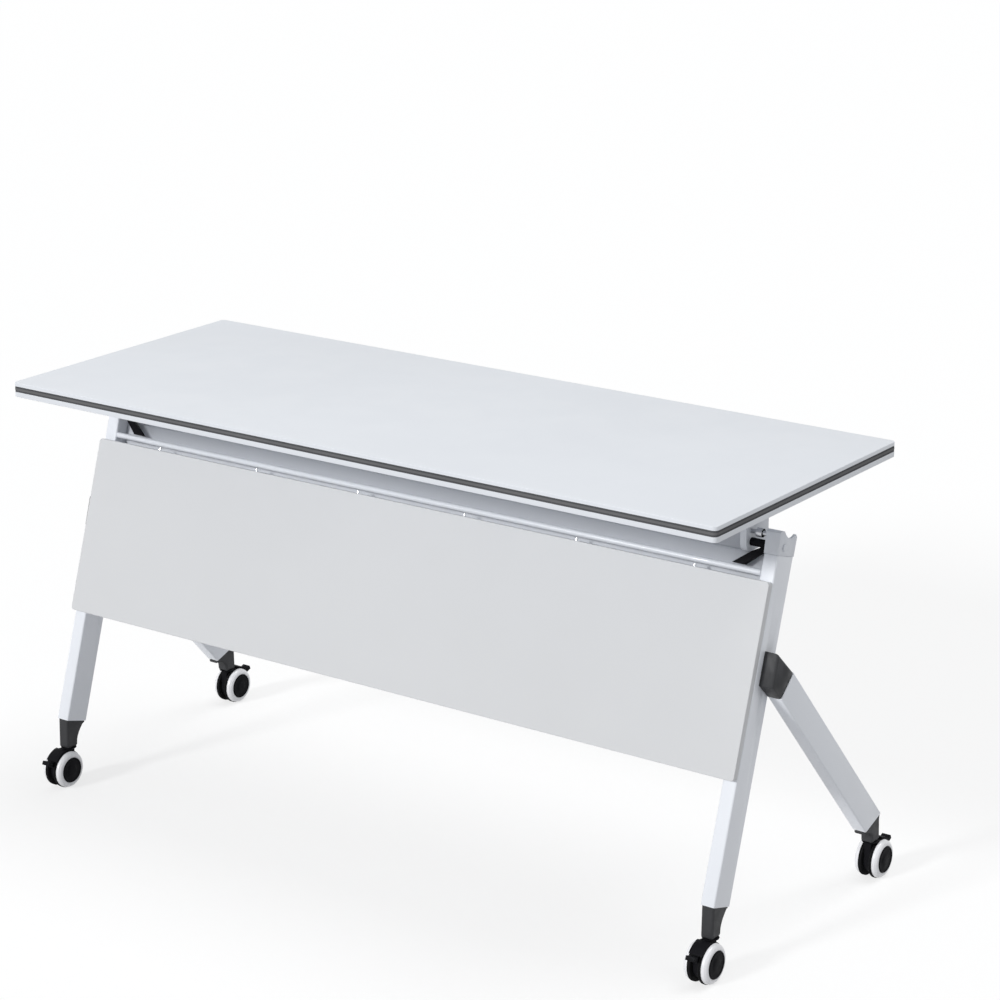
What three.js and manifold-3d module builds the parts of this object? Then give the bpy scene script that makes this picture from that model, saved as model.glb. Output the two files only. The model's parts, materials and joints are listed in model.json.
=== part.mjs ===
// A flip top training table on casters.
// A laminate top tips forward on two cast arms. Leaning front legs carry it, with rear legs
// bolted to their outer faces, a modesty panel on their front faces and a twin wheel caster
// under each foot. Millimetres, +Z up, +X along the length, -Y towards the panel.
// The origin is on the floor, midway between the front and the rear caster swivels.

import * as THREE from 'three';
import { mergeVertices } from 'three/addons/utils/BufferGeometryUtils.js';
import ManifoldModule from 'manifold-3d';

const wasm = await ManifoldModule();
wasm.setup();

// Clearances
const GAP = 0.3;
const SEAT_OVERLAP = 3;
const CUT_SPARE = 1;

// Table top and its edge band
const TOP_LENGTH = 1400;
const TOP_DEPTH = 550;
const TOP_THICKNESS = 25;
const TOP_HEIGHT = 750;
const TOP_CORNER_RADIUS = 8;
const BAND_HEIGHT = 10.5;
const BAND_DROP = 6;
const BAND_DEPTH = 2;

// Leg tubes
const TUBE_WIDTH = 25;
const TUBE_DEPTH = 50;
const TUBE_WALL = 2;
const TUBE_CORNER_RADIUS = 3;
const SPIGOT_LENGTH = 25;
const LEG_INSET = 30.5;
const FRONT_LEAN = 17.5;
const FRONT_FOOT_HEIGHT = 117;
const FRONT_FOOT_OFFSET = 11;
const REAR_LEAN = 42;
const REAR_FOOT_HEIGHT = 108;
const REAR_FOOT_OFFSET = 14;
const REAR_CUT_ANGLE = 19;
const REAR_TUBE_SETBACK = 40;

// Joint cover on the head of the rear leg, and the bolt through it
const COVER_SETBACK = 13;
const COVER_FRONT_LENGTH = 54;
const COVER_PEAK_DROP = 7;
const COVER_BEVEL = 5;
const BOLT_RADIUS = 5;
const BOLT_HEAD_RADIUS = 9;
const BOLT_HEAD_HEIGHT = 4;
const BOLT_GRIP = 18;

// Foot plugs
const PLUG_INSET = 1.5;
const PLUG_FOOT_DEPTH = 26;
const PLUG_RIM = 6;
const PLUG_WAIST = 18;
const STEM_SOCKET_DEPTH = 28;

// Flip pivot, leg head and flip arm
const PIVOT_DROP = 72;
const PIVOT_SETBACK = 43;
const PIVOT_ACROSS = -9.7;
const PIVOT_RISE = 12.7;
const PIVOT_RADIUS = 4;
const PIVOT_HEAD_RADIUS = 5.5;
const PIVOT_HEAD_HEIGHT = 2;
const HEAD_HEIGHT = 38;
const HEAD_OVERHANG = 4;
const HEAD_TOP_LENGTH = 12;
const HEAD_SCOOP_ACROSS = 3;
const HEAD_SCOOP_HEIGHT = 19;
const HEAD_TIP_HEIGHT = 35;
const HEAD_CHAMFER = 4;
const HEAD_FIN_THICKNESS = 5;
const HEAD_REAR_START = 0;
const HEAD_REAR_HEIGHT = 24;
const ARM_THICKNESS = 11;
const ARM_LUG_RADIUS = 16;
const ARM_NECK_DEPTH = 51;
const ARM_FRONT_REACH = 219;
const ARM_REAR_REACH = 193;
const ARM_KNEE_HEIGHT = 30;
const ARM_KNEE_CHAMFER = 8;
const ARM_ELBOW_REACH = 120;
const ARM_ELBOW_HEIGHT = 40;
const ARM_TIP_DEPTH = 4.5;
const ARM_FILLET = 16;
const FLANGE_WIDTH = 40;
const FLANGE_THICKNESS = 5;

// Release lever and lock pin
const HUB_LENGTH = 32;
const HUB_RADIUS = 6.5;
const LEVER_TILT = 24;
const LEVER_THICKNESS = 8;
const LEVER_STALK = 12;
const LEVER_DROP = 10;
const LEVER_HEEL = 7;
const LEVER_NECK = 8;
const LEVER_ELBOW = 14.5;
const LEVER_REACH = 37;
const PADDLE_INSET = 34;
const PADDLE_WIDTH = 21;
const LOCK_RISE = 17;
const LOCK_PIN_RADIUS = 3.5;
const LOCK_PIN_GRIP = 11;
const LOCK_BORE_DEPTH = 19;
const LOCK_COLLAR_RADIUS = 7.2;
const LOCK_COLLAR_LENGTH = 11;
const LOCK_COLLAR_OFFSET = 10;

// Panel, rail and beam
const PANEL_HEIGHT = 308;
const PANEL_THICKNESS = 12;
const PANEL_TOP_DROP = 41.5;
const PANEL_CORNER_RADIUS = 6;
const RAIL_RADIUS = 5;
const RAIL_SHOW = 11;
const BEAM_HEIGHT = 57;
const BEAM_DEPTH = 24;
const BEAM_WALL = 2;
const BEAM_CORNER_RADIUS = 4;
const BEAM_TOP_DROP = 3;
const CREST_RISE = 30;
const CREST_THICKNESS = 3;
const CREST_CORNER_RADIUS = 3;
const CREST_CLEARANCE = 3;

// Casters
const SWIVEL_BASE = 463;
const CASTER_NECK = 2.5;
const CASTER_TRAIL = 16;
const WHEEL_RADIUS = 33.5;
const WHEEL_INNER_FACE = 6.6;
const TYRE_FACE = 12;
const TYRE_CHAMFER = 1.2;
const HUB_FACE = 23;
const HUB_DISC_RADIUS = 22.3;
const HUB_DISH = 1;
const RIM_FACE = 21.5;
const RIM_DROP = 0.8;
const RIM_LIP = 1.5;
const RIM_SHOULDER = 1.5;
const WEB_WIDTH = 12;
const HOOD_WIDTH = 24;
const HOOD_GAP = 1;
const HOOD_THICKNESS = 2;
const HOOD_START = 95;
const HOOD_END = 142;
const WEB_TAIL = 8;
const AXLE_RADIUS = 4;
const AXLE_HALF_LENGTH = 16.5;
const AXLE_BOSS_RADIUS = 26;
const BOSS_START = 20;
const BOSS_END = -200;
const STEM_RADIUS = 4;
const STEM_INSERT = 26;
const STEM_SEAT = 18;
const COLLAR_RADIUS = 14;
const COLLAR_CLEARANCE = 0.5;
const PEDAL_REACH = 45;
const PEDAL_RISE = 19;
const PEDAL_WIDTH = 16;
const PEDAL_THICKNESS = 7;
const PEDAL_LENGTH = 11;
const PEDAL_STEM_WIDTH = 11;
const KNUCKLE_RADIUS = 3.6;
const KNUCKLE_BACK = 27;
const KNUCKLE_RISE = 12;

// Facets on round work
const WHEEL_FACETS = 24;
const PIN_FACETS = 12;
const CORNER_STEPS = 3;
const CURVE_STEPS = 6;
const BEVEL_STEPS = 2;

const paint = {
  laminate: { color: 0xe6e9ee, roughness: 0.45, metalness: 0 },
  edge: { color: 0x5c5a58, roughness: 0.5, metalness: 0 },
  silver: { color: 0xd4d8de, roughness: 0.35, metalness: 0.3 },
  cast: { color: 0xc6cad1, roughness: 0.45, metalness: 0.3 },
  panel: { color: 0xdcdee1, roughness: 0.5, metalness: 0 },
  plug: { color: 0x4a4b4d, roughness: 0.55, metalness: 0 },
  black: { color: 0x1b1c1e, roughness: 0.5, metalness: 0 },
  rim: { color: 0xc9c9cc, roughness: 0.4, metalness: 0 },
  tyre: { color: 0x2a2a2c, roughness: 0.8, metalness: 0 },
  steel: { color: 0x9a9ca0, roughness: 0.35, metalness: 0.9 },
};

const table = new THREE.Group();

function radians(degrees) {
  return THREE.MathUtils.degToRad(degrees);
}

function addMesh(parent, name, geometry, finish) {
  const mesh = new THREE.Mesh(geometry, new THREE.MeshStandardMaterial(finish));
  mesh.name = name;
  parent.add(mesh);
  return mesh;
}

// Closed solids for joining and cutting

function solidOf(geometry) {
  const bare = geometry.clone();
  bare.deleteAttribute('normal');
  bare.deleteAttribute('uv');
  const welded = mergeVertices(bare, 1e-4);
  const corners = welded.index.array;
  const triangles = [];
  for (let i = 0; i < corners.length; i += 3) {
    const [a, b, c] = corners.slice(i, i + 3);
    if (a !== b && b !== c && c !== a) triangles.push(a, b, c);
  }
  return new wasm.Manifold(new wasm.Mesh({
    numProp: 3,
    vertProperties: new Float32Array(welded.attributes.position.array),
    triVerts: new Uint32Array(triangles),
  }));
}

function geometryOf(solid) {
  const mesh = solid.getMesh();
  const geometry = new THREE.BufferGeometry();
  geometry.setAttribute('position', new THREE.BufferAttribute(mesh.vertProperties, 3));
  geometry.setIndex(new THREE.BufferAttribute(mesh.triVerts, 1));
  geometry.computeVertexNormals();
  return geometry;
}

function joined(...geometries) {
  const solids = geometries.map(solidOf);
  return geometryOf(solids.reduce((whole, solid) => whole.add(solid)));
}

function cut(geometry, ...tools) {
  const solids = tools.map(solidOf);
  return geometryOf(solids.reduce((whole, tool) => whole.subtract(tool), solidOf(geometry)));
}

// Basic shapes

// Turns an outline drawn in X and Y, and extruded along Z, to Y and Z along X.
const sideTurn = new THREE.Matrix4().makeBasis(
  new THREE.Vector3(0, 1, 0),
  new THREE.Vector3(0, 0, 1),
  new THREE.Vector3(1, 0, 0),
);

function sideShape(outline) {
  return new THREE.Shape(outline.map(([y, z]) => new THREE.Vector2(y, z)));
}

// A side outline in Y and Z, given its thickness along X.
function slab(outline, xA, xB) {
  const low = Math.min(xA, xB);
  const geometry = new THREE.ExtrudeGeometry(sideShape(outline), {
    depth: Math.abs(xB - xA),
    bevelEnabled: false,
  });
  return geometry.applyMatrix4(sideTurn).translate(low, 0, 0);
}

// A side outline with a flat back at one station and a rounded edge round its face at the other.
function bevelledBlock(outline, xBack, xFace, bevel) {
  const width = Math.abs(xFace - xBack);
  const geometry = new THREE.ExtrudeGeometry(sideShape(outline), {
    depth: 2 * (width - bevel),
    bevelThickness: bevel,
    bevelSize: bevel,
    bevelOffset: -bevel,
    bevelSegments: BEVEL_STEPS,
  });
  const whole = geometry.applyMatrix4(sideTurn).translate(xBack - width + bevel, 0, 0);
  const behind = new THREE.BoxGeometry(2 * width, 2 * TOP_HEIGHT, 2 * TOP_HEIGHT);
  return cut(whole, behind.translate(xBack - Math.sign(xFace - xBack) * width, 0, 0));
}

// A round bar along X from one station to another.
function bar(radius, xA, xB, y = 0, z = 0, facets = PIN_FACETS) {
  const geometry = new THREE.CylinderGeometry(radius, radius, Math.abs(xB - xA), facets);
  return geometry.rotateZ(-Math.PI / 2).translate((xA + xB) / 2, y, z);
}

// A round post along Z.
function post(radius, zA, zB, x = 0, y = 0, facets = PIN_FACETS) {
  const geometry = new THREE.CylinderGeometry(radius, radius, Math.abs(zB - zA), facets);
  return geometry.rotateX(Math.PI / 2).translate(x, y, (zA + zB) / 2);
}

// A profile of [radius, station] pairs spun about X, with a flat facet facing down.
function spun(profile, facets) {
  const points = profile.map(([radius, station]) => new THREE.Vector2(radius, station));
  return new THREE.LatheGeometry(points, facets, Math.PI / facets).rotateZ(-Math.PI / 2);
}

function roundedRectangle(width, depth, radius) {
  const shape = new THREE.Shape();
  const x = width / 2;
  const y = depth / 2;
  shape.absarc(x - radius, y - radius, radius, 0, Math.PI / 2);
  shape.absarc(-x + radius, y - radius, radius, Math.PI / 2, Math.PI);
  shape.absarc(-x + radius, -y + radius, radius, Math.PI, Math.PI * 1.5);
  shape.absarc(x - radius, -y + radius, radius, Math.PI * 1.5, Math.PI * 2);
  shape.closePath();
  return shape;
}

function extruded(shape, height) {
  return new THREE.ExtrudeGeometry(shape, {
    depth: height,
    bevelEnabled: false,
    curveSegments: CORNER_STEPS,
  });
}

function boxTube(width, depth, radius, wall, length) {
  const shape = roundedRectangle(width, depth, radius);
  const bore = roundedRectangle(width - 2 * wall, depth - 2 * wall, Math.max(radius - wall, CUT_SPARE / 2));
  shape.holes.push(new THREE.Path(bore.getPoints(CORNER_STEPS)));
  return extruded(shape, length);
}

function arc(centreY, centreZ, radius, startDegrees, endDegrees, steps) {
  const points = [];
  for (let i = 0; i <= steps; i += 1) {
    const angle = radians(startDegrees + (endDegrees - startDegrees) * i / steps);
    points.push([centreY + radius * Math.cos(angle), centreZ + radius * Math.sin(angle)]);
  }
  return points;
}

function bend(from, control, to, steps) {
  const curve = new THREE.QuadraticBezierCurve(
    new THREE.Vector2(...from),
    new THREE.Vector2(...control),
    new THREE.Vector2(...to),
  );
  return curve.getPoints(steps).map((point) => [point.x, point.y]);
}

// Leg frames: a point is given across the tube and along it, measured from the foot of its axis.

function legFrame(footY, footZ, leanDegrees) {
  const lean = radians(leanDegrees);
  const along = [Math.sin(lean), Math.cos(lean)];
  const across = [Math.cos(lean), -Math.sin(lean)];
  const at = (acrossBy, alongBy) => [
    footY + acrossBy * across[0] + alongBy * along[0],
    footZ + acrossBy * across[1] + alongBy * along[1],
  ];
  const local = ([y, z]) => [
    (y - footY) * across[0] + (z - footZ) * across[1],
    (y - footY) * along[0] + (z - footZ) * along[1],
  ];
  return { footY, footZ, lean, at, local };
}

function turnedGroup(leg, x) {
  const group = new THREE.Group();
  group.position.set(x, leg.footY, leg.footZ);
  group.rotation.x = -leg.lean;
  table.add(group);
  return group;
}

const legX = TOP_LENGTH / 2 - LEG_INSET;
const legInner = legX - TUBE_WIDTH / 2;
const legOuter = legX + TUBE_WIDTH / 2;
const rearLegX = legX + TUBE_WIDTH + GAP;
const rearInner = rearLegX - TUBE_WIDTH / 2;
const rearOuter = rearLegX + TUBE_WIDTH / 2;
const halfDepth = TUBE_DEPTH / 2;
const plugReach = halfDepth - PLUG_INSET;
const plugHalfWidth = TUBE_WIDTH / 2 - PLUG_INSET;
const frontSwivelY = -SWIVEL_BASE / 2;
const rearSwivelY = SWIVEL_BASE / 2;
const casterHeight = 2 * WHEEL_RADIUS + CASTER_NECK;

const front = legFrame(frontSwivelY + FRONT_FOOT_OFFSET, FRONT_FOOT_HEIGHT, FRONT_LEAN);
const rear = legFrame(rearSwivelY - REAR_FOOT_OFFSET, REAR_FOOT_HEIGHT, -REAR_LEAN);

// The pivot height follows the top, and the leg ends where its head puts the pivot.
const topUnderside = TOP_HEIGHT - TOP_THICKNESS;
const pivotZ = topUnderside - PIVOT_DROP;
const legEndZ = pivotZ - PIVOT_RISE * Math.cos(front.lean) + PIVOT_ACROSS * Math.sin(front.lean);
const frontLegLength = (legEndZ - FRONT_FOOT_HEIGHT) / Math.cos(front.lean);
const pivotY = front.at(PIVOT_ACROSS, frontLegLength + PIVOT_RISE)[0];
const topCentreY = pivotY + PIVOT_SETBACK;
const lockZ = pivotZ + LOCK_RISE;
const armOuter = legInner - HUB_LENGTH - 2 * GAP;
const armInner = armOuter - ARM_THICKNESS;

// Where the axes of the two legs cross, as a distance along each.
const leanSum = radians(FRONT_LEAN + REAR_LEAN);
const footSpanY = rear.footY - front.footY;
const footRise = rear.footZ - front.footZ;
const frontCrossing = (footSpanY * Math.cos(rear.lean) - footRise * Math.sin(rear.lean)) / Math.sin(leanSum);
const crossing = front.at(0, frontCrossing);
const rearLegLength = rear.local(crossing)[1] - REAR_TUBE_SETBACK;

// The rear tube is cut aslant at its foot, rising to the rear.
const rearCutSlope = -Math.tan(radians(REAR_LEAN - REAR_CUT_ANGLE));

const sides = [
  { name: 'right', sign: 1 },
  { name: 'left', sign: -1 },
];

// Table top

function buildTop() {
  const outline = roundedRectangle(TOP_LENGTH, TOP_DEPTH, TOP_CORNER_RADIUS);
  const inset = (depth) => roundedRectangle(
    TOP_LENGTH - 2 * depth,
    TOP_DEPTH - 2 * depth,
    TOP_CORNER_RADIUS - depth,
  );
  const around = roundedRectangle(
    TOP_LENGTH + TOP_CORNER_RADIUS,
    TOP_DEPTH + TOP_CORNER_RADIUS,
    TOP_CORNER_RADIUS,
  );
  const grooveFloor = TOP_THICKNESS - BAND_DROP - BAND_HEIGHT;
  const ring = (outer, inner, height) => cut(
    extruded(outer, height),
    extruded(inner, 3 * height).translate(0, 0, -height),
  );
  const groove = ring(around, inset(BAND_DEPTH), BAND_HEIGHT).translate(0, 0, grooveFloor);
  const board = cut(extruded(outline, TOP_THICKNESS), groove);
  addMesh(table, 'table_top', board, paint.laminate).position.set(0, topCentreY, topUnderside);
  const band = ring(outline, inset(BAND_DEPTH - GAP), BAND_HEIGHT - 2 * GAP);
  const bandZ = topUnderside + grooveFloor + GAP;
  addMesh(table, 'edge_band', band, paint.edge).position.set(0, topCentreY, bandZ);
}

// Front legs, their heads and their plugs

function spigot(leg, x, alongA, alongB, slope = 0) {
  const reach = halfDepth - TUBE_WALL - GAP;
  const width = TUBE_WIDTH / 2 - TUBE_WALL - GAP;
  const outline = [
    leg.at(-reach, alongA - slope * reach),
    leg.at(reach, alongA + slope * reach),
    leg.at(reach, alongB),
    leg.at(-reach, alongB),
  ];
  return slab(outline, x - width, x + width);
}

// A running bore along X at the pivot's depth, opened a little past both of its faces.
function throughBore(radius, sign, innerX, outerX, z) {
  return bar(radius + GAP, sign * (innerX - CUT_SPARE), sign * (outerX + CUT_SPARE), pivotY, z);
}

function stemSocket(x, swivelY) {
  const mouth = casterHeight - STEM_SOCKET_DEPTH;
  return post(STEM_RADIUS + GAP, mouth, casterHeight + STEM_SOCKET_DEPTH, x, swivelY);
}

function buildFrontLeg({ name, sign }) {
  const bolt = bar(BOLT_RADIUS + GAP, -TUBE_WIDTH, TUBE_WIDTH, 0, frontCrossing);
  const tube = boxTube(TUBE_WIDTH, TUBE_DEPTH, TUBE_CORNER_RADIUS, TUBE_WALL, frontLegLength);
  addMesh(turnedGroup(front, sign * legX), `front_leg_${name}`, cut(tube, bolt), paint.silver);
}

function buildLegHead({ name, sign }) {
  const nose = -halfDepth - HEAD_OVERHANG;
  const browEnd = [nose + HEAD_TOP_LENGTH, HEAD_HEIGHT];
  const brow = [
    [-halfDepth, GAP],
    [nose, HEAD_HEIGHT - HEAD_CHAMFER],
    [nose + HEAD_CHAMFER, HEAD_HEIGHT],
  ];
  const bodyOutline = [
    ...brow,
    browEnd,
    [HEAD_REAR_START, HEAD_REAR_HEIGHT],
    [halfDepth, HEAD_REAR_HEIGHT],
    [halfDepth, GAP],
  ];
  const tip = [halfDepth - HEAD_CHAMFER, HEAD_TIP_HEIGHT];
  const finOutline = [
    ...brow,
    ...bend(browEnd, [HEAD_SCOOP_ACROSS, HEAD_SCOOP_HEIGHT], tip, CURVE_STEPS),
    [halfDepth, HEAD_TIP_HEIGHT - HEAD_CHAMFER],
    [halfDepth, GAP],
  ];
  const placed = (outline) => outline.map(([across, along]) => front.at(across, frontLegLength + along));
  const finInner = legOuter - HEAD_FIN_THICKNESS;
  const body = slab(placed(bodyOutline), sign * legInner, sign * (finInner + CUT_SPARE));
  const fin = slab(placed(finOutline), sign * finInner, sign * legOuter);
  const tenon = spigot(front, sign * legX, frontLegLength - SPIGOT_LENGTH, frontLegLength + SEAT_OVERLAP);
  const pivotBore = throughBore(PIVOT_RADIUS, sign, legInner, legOuter, pivotZ);
  const lockEnd = legInner + LOCK_BORE_DEPTH;
  const lockBore = bar(LOCK_PIN_RADIUS + GAP, sign * (legInner - CUT_SPARE), sign * lockEnd, pivotY, lockZ);
  const head = cut(joined(body, fin, tenon), pivotBore, lockBore);
  addMesh(table, `leg_head_${name}`, head, paint.cast);
}

function buildFrontPlug({ name, sign }) {
  const heel = frontSwivelY + PLUG_FOOT_DEPTH / 2;
  const toe = frontSwivelY - PLUG_FOOT_DEPTH / 2;
  const rearCorner = front.at(plugReach, -GAP);
  const outline = [
    front.at(-plugReach, -GAP),
    [toe, casterHeight],
    [heel, casterHeight],
    ...bend([heel, casterHeight + PLUG_RIM], [heel, rearCorner[1] - PLUG_WAIST], rearCorner, CURVE_STEPS),
  ];
  const x = sign * legX;
  const block = slab(outline, x - plugHalfWidth, x + plugHalfWidth);
  const tenon = spigot(front, x, -SEAT_OVERLAP, SPIGOT_LENGTH);
  const plug = cut(joined(block, tenon), stemSocket(x, frontSwivelY));
  addMesh(table, `front_plug_${name}`, plug, paint.plug);
}

// Rear legs, their covers, bolts and plugs

function buildRearLeg({ name, sign }) {
  const spare = TUBE_DEPTH;
  const tube = boxTube(TUBE_WIDTH, TUBE_DEPTH, TUBE_CORNER_RADIUS, TUBE_WALL, rearLegLength + spare);
  const below = [
    [-TUBE_DEPTH, -TUBE_DEPTH * rearCutSlope],
    [TUBE_DEPTH, TUBE_DEPTH * rearCutSlope],
    [TUBE_DEPTH, -2 * spare],
    [-TUBE_DEPTH, -2 * spare],
  ];
  const slanted = cut(tube.translate(0, 0, -spare), slab(below, -TUBE_WIDTH, TUBE_WIDTH));
  addMesh(turnedGroup(rear, sign * rearLegX), `rear_leg_${name}`, slanted, paint.silver);
}

function buildJointCover({ name, sign }) {
  const upper = rear.at(halfDepth, rearLegLength + GAP);
  const lower = rear.at(-halfDepth, rearLegLength + GAP);
  const frontLine = COVER_SETBACK - halfDepth;
  const acrossAt = (along) => front.local(rear.at(halfDepth, along))[0];
  const peakAlong = (frontLine - acrossAt(0)) / (acrossAt(1) - acrossAt(0));
  const peak = front.local(rear.at(halfDepth, peakAlong))[1] - COVER_PEAK_DROP;
  const outline = [
    upper,
    front.at(frontLine, peak),
    front.at(frontLine, peak - COVER_FRONT_LENGTH),
    lower,
  ];
  const x = sign * rearLegX;
  const block = bevelledBlock(outline, sign * rearInner, sign * rearOuter, COVER_BEVEL);
  const tenon = spigot(rear, x, rearLegLength - SPIGOT_LENGTH, rearLegLength + SEAT_OVERLAP);
  const boreEnd = rearInner + BOLT_GRIP + GAP;
  const bore = bar(BOLT_RADIUS + GAP, sign * (rearInner - CUT_SPARE), sign * boreEnd, ...crossing);
  addMesh(table, `joint_cover_${name}`, cut(joined(block, tenon), bore), paint.plug);
  const shoulder = legInner - GAP;
  const bolt = joined(
    bar(BOLT_RADIUS, sign * (shoulder - CUT_SPARE), sign * (rearInner + BOLT_GRIP), ...crossing),
    bar(BOLT_HEAD_RADIUS, sign * (shoulder - BOLT_HEAD_HEIGHT), sign * shoulder, ...crossing),
  );
  addMesh(table, `joint_bolt_${name}`, bolt, paint.steel);
}

function buildRearPlug({ name, sign }) {
  const heel = rearSwivelY + PLUG_FOOT_DEPTH / 2;
  const toe = rearSwivelY - PLUG_FOOT_DEPTH / 2;
  const highCorner = rear.at(plugReach, plugReach * rearCutSlope - GAP);
  const lowCorner = rear.at(-plugReach, -plugReach * rearCutSlope - GAP);
  const rimCorner = [lowCorner[0], lowCorner[1] - PLUG_RIM];
  const outline = [
    highCorner,
    [heel, casterHeight + PLUG_RIM],
    [heel, casterHeight],
    [toe, casterHeight],
    ...bend([toe, casterHeight + PLUG_RIM], [toe, rimCorner[1]], rimCorner, CURVE_STEPS),
    lowCorner,
  ];
  const x = sign * rearLegX;
  const block = slab(outline, x - plugHalfWidth, x + plugHalfWidth);
  const tenon = spigot(rear, x, -SEAT_OVERLAP, SPIGOT_LENGTH, rearCutSlope);
  const plug = cut(joined(block, tenon), stemSocket(x, rearSwivelY));
  addMesh(table, `rear_plug_${name}`, plug, paint.plug);
}

// Beam, panel and rail, which lean with the front legs

function buildCrossPieces() {
  const group = turnedGroup(front, 0);
  const beamLength = 2 * (legInner - GAP);
  const beam = boxTube(BEAM_HEIGHT, BEAM_DEPTH, BEAM_CORNER_RADIUS, BEAM_WALL, beamLength)
    .rotateY(Math.PI / 2)
    .translate(-beamLength / 2, halfDepth - BEAM_DEPTH / 2, frontLegLength - BEAM_TOP_DROP - BEAM_HEIGHT / 2);
  addMesh(group, 'main_beam', beam, paint.silver);
  const crestLength = 2 * (armInner - CREST_CLEARANCE);
  const crestBack = halfDepth - BEAM_DEPTH + BEAM_CORNER_RADIUS + CREST_THICKNESS;
  const crestFoot = frontLegLength - BEAM_TOP_DROP + GAP;
  const crest = extruded(roundedRectangle(crestLength, CREST_RISE, CREST_CORNER_RADIUS), CREST_THICKNESS)
    .rotateX(Math.PI / 2)
    .translate(0, crestBack, crestFoot + CREST_RISE / 2);
  addMesh(group, 'beam_crest', crest, paint.silver);
  const panelTop = frontLegLength - PANEL_TOP_DROP;
  const panel = extruded(roundedRectangle(2 * legOuter, PANEL_HEIGHT, PANEL_CORNER_RADIUS), PANEL_THICKNESS)
    .rotateX(Math.PI / 2)
    .translate(0, -halfDepth - GAP, panelTop - PANEL_HEIGHT / 2);
  addMesh(group, 'modesty_panel', panel, paint.panel);
  const railEnd = legInner - GAP;
  const rail = bar(RAIL_RADIUS, -railEnd, railEnd, RAIL_RADIUS - halfDepth, panelTop + RAIL_SHOW);
  addMesh(group, 'panel_rail', rail, paint.silver);
}

// Flip arms and their pivot pins

function buildFlipArm({ name, sign }) {
  const plateTop = PIVOT_DROP - GAP;
  const flangeLow = plateTop - FLANGE_THICKNESS;
  const outline = [
    ...arc(0, 0, ARM_LUG_RADIUS, 270, 180, CURVE_STEPS),
    [-ARM_LUG_RADIUS, ARM_KNEE_HEIGHT - ARM_KNEE_CHAMFER],
    [-ARM_LUG_RADIUS - ARM_KNEE_CHAMFER, ARM_KNEE_HEIGHT],
    [-ARM_ELBOW_REACH, ARM_ELBOW_HEIGHT],
    [-ARM_FRONT_REACH, plateTop - ARM_TIP_DEPTH],
    [-ARM_FRONT_REACH, plateTop],
    [ARM_REAR_REACH, plateTop],
    [ARM_REAR_REACH, flangeLow],
    ...bend(
      [ARM_NECK_DEPTH + ARM_FILLET, flangeLow],
      [ARM_NECK_DEPTH, flangeLow],
      [ARM_NECK_DEPTH, flangeLow - ARM_FILLET],
      CURVE_STEPS,
    ),
    [ARM_NECK_DEPTH, -ARM_LUG_RADIUS + ARM_KNEE_CHAMFER],
    [ARM_NECK_DEPTH - ARM_KNEE_CHAMFER, -ARM_LUG_RADIUS],
  ].map(([y, z]) => [pivotY + y, pivotZ + z]);
  const plate = slab(outline, sign * armInner, sign * armOuter);
  const flangeOutline = [
    [pivotY - ARM_FRONT_REACH, pivotZ + plateTop - ARM_TIP_DEPTH],
    [pivotY + ARM_REAR_REACH, pivotZ + flangeLow],
    [pivotY + ARM_REAR_REACH, pivotZ + plateTop],
    [pivotY - ARM_FRONT_REACH, pivotZ + plateTop],
  ];
  const flangeCentre = (armInner + armOuter) / 2;
  const flange = slab(
    flangeOutline,
    sign * (flangeCentre - FLANGE_WIDTH / 2),
    sign * (flangeCentre + FLANGE_WIDTH / 2),
  );
  const pivotBore = throughBore(PIVOT_RADIUS, sign, armInner, armOuter, pivotZ);
  const lockHole = throughBore(LOCK_PIN_RADIUS, sign, armInner, armOuter, lockZ);
  addMesh(table, `flip_arm_${name}`, cut(joined(plate, flange), pivotBore, lockHole), paint.cast);
  const shoulder = legOuter + GAP;
  const pin = joined(
    bar(PIVOT_RADIUS, sign * armInner, sign * (shoulder + CUT_SPARE), pivotY, pivotZ),
    bar(PIVOT_HEAD_RADIUS, sign * shoulder, sign * (shoulder + PIVOT_HEAD_HEIGHT), pivotY, pivotZ),
  );
  addMesh(table, `pivot_pin_${name}`, pin, paint.steel);
}

// Release levers turn on the pivot pins and draw the lock pins

function buildLever({ name, sign }) {
  const outer = legInner - GAP;
  const stalkInner = outer - LEVER_STALK;
  const tip = outer - PADDLE_INSET;
  const outline = [
    [outer, 0],
    [outer, -LEVER_DROP],
    [stalkInner, -LEVER_DROP - LEVER_HEEL],
    [tip, -LEVER_REACH],
    [tip - PADDLE_WIDTH, -LEVER_REACH],
    [tip + LEVER_NECK, -LEVER_ELBOW],
    [stalkInner, -LEVER_DROP + LEVER_HEEL / 2],
    [stalkInner, 0],
  ];
  const shape = new THREE.Shape(outline.map(([x, drop]) => new THREE.Vector2(sign * x, drop)));
  const paddle = new THREE.ExtrudeGeometry(shape, { depth: LEVER_THICKNESS, bevelEnabled: false })
    .rotateX(Math.PI / 2)
    .translate(0, LEVER_THICKNESS / 2, 0)
    .rotateX(-radians(LEVER_TILT))
    .translate(0, pivotY, pivotZ);
  const hub = bar(HUB_RADIUS, sign * (armOuter + GAP), sign * outer, pivotY, pivotZ);
  const bore = bar(PIVOT_RADIUS + GAP, sign * armInner, sign * legOuter, pivotY, pivotZ);
  addMesh(table, `release_lever_${name}`, cut(joined(hub, paddle), bore), paint.black);
}

function buildLockPin({ name, sign }) {
  const collar = armOuter + LOCK_COLLAR_OFFSET;
  const pin = joined(
    bar(LOCK_PIN_RADIUS, sign * (armOuter + GAP), sign * (legInner + LOCK_PIN_GRIP), pivotY, lockZ),
    bar(LOCK_COLLAR_RADIUS, sign * collar, sign * (collar + LOCK_COLLAR_LENGTH), pivotY, lockZ),
  );
  addMesh(table, `lock_pin_${name}`, pin, paint.black);
}

// Casters: each is drawn trailing towards -Y, about its swivel axis, and its group turns it

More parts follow.
